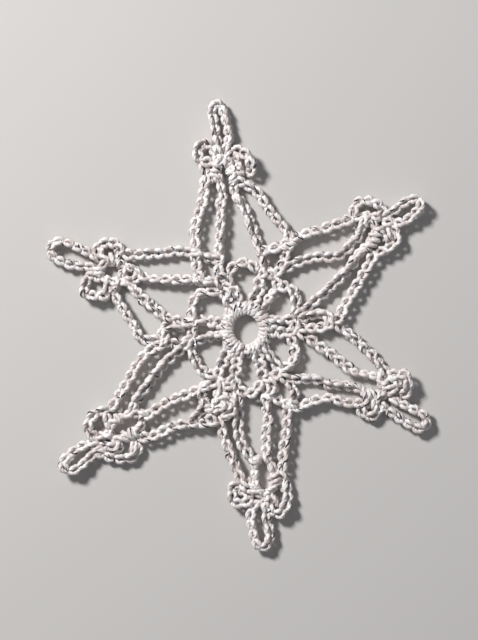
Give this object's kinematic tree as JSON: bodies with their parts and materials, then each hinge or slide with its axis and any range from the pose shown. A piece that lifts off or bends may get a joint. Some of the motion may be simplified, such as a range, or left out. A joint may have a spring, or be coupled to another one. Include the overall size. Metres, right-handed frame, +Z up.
{
  "type": "crochet snowflake ornament",
  "caption": "Flat crochet snowflake of fine cotton thread: an open foundation ring, paired posts, chain arches and pointed arms with picots and hanging loops that fold at their roots.",
  "frame": {"origin": "middle of the foundation ring, on the surface that the ornament lies on", "axes": "+Z up out of the lace, +Y towards the point at twelve o'clock in the picture"},
  "size_m": [0.0794, 0.0912, 0.0026],
  "materials": {
    "thread": "off-white mercerised cotton with a fine silver metallic filament"
  },
  "bodies": {
    "centre": {"foundation_ring": "thread", "post_pair_1": "thread", "post_pair_3": "thread", "post_pair_5": "thread", "post_pair_7": "thread", "post_pair_9": "thread", "post_pair_11": "thread", "arch_12": "thread", "arch_2": "thread", "arch_4": "thread", "arch_6": "thread", "arch_8": "thread", "arch_10": "thread", "valley_1": "thread", "valley_3": "thread", "valley_5": "thread", "valley_7": "thread", "valley_9": "thread", "valley_11": "thread"},
    "point_12": {"long_loop_12": "thread", "left_chain_12": "thread", "right_chain_12": "thread", "shell_12": "thread", "picots_12": "thread", "tip_loop_12": "thread"},
    "point_2": {"long_loop_2": "thread", "left_chain_2": "thread", "right_chain_2": "thread", "shell_2": "thread", "picots_2": "thread", "tip_loop_2": "thread"},
    "point_4": {"long_loop_4": "thread", "left_chain_4": "thread", "right_chain_4": "thread", "shell_4": "thread", "picots_4": "thread", "tip_loop_4": "thread"},
    "point_6": {"long_loop_6": "thread", "left_chain_6": "thread", "right_chain_6": "thread", "shell_6": "thread", "picots_6": "thread", "tip_loop_6": "thread"},
    "point_8": {"long_loop_8": "thread", "left_chain_8": "thread", "right_chain_8": "thread", "shell_8": "thread", "picots_8": "thread", "tip_loop_8": "thread"},
    "point_10": {"long_loop_10": "thread", "left_chain_10": "thread", "right_chain_10": "thread", "shell_10": "thread", "picots_10": "thread", "tip_loop_10": "thread"}
  },
  "joints": [
    {"name": "fold_12", "type": "hinge", "parent": "centre", "child": "point_12", "pos_m": [-0.00077, 0.01819, 0.0013], "axis": [0.9965, 0.083, 0], "range_deg": [-60, 60]},
    {"name": "fold_2", "type": "hinge", "parent": "centre", "child": "point_2", "pos_m": [0.01478, 0.01011, 0.0013], "axis": [0.4563, -0.8898, 0], "range_deg": [-60, 60]},
    {"name": "fold_4", "type": "hinge", "parent": "centre", "child": "point_4", "pos_m": [0.01481, -0.00786, 0.0013], "axis": [-0.4299, -0.9029, 0], "range_deg": [-60, 60]},
    {"name": "fold_6", "type": "hinge", "parent": "centre", "child": "point_6", "pos_m": [0.00105, -0.01799, 0.0013], "axis": [-0.9973, -0.0739, 0], "range_deg": [-60, 60]},
    {"name": "fold_8", "type": "hinge", "parent": "centre", "child": "point_8", "pos_m": [-0.01489, -0.01104, 0.0013], "axis": [-0.6684, 0.7438, 0], "range_deg": [-60, 60]},
    {"name": "fold_10", "type": "hinge", "parent": "centre", "child": "point_10", "pos_m": [-0.01668, 0.00722, 0.0013], "axis": [0.4589, 0.8885, 0], "range_deg": [-60, 60]}
  ]
}
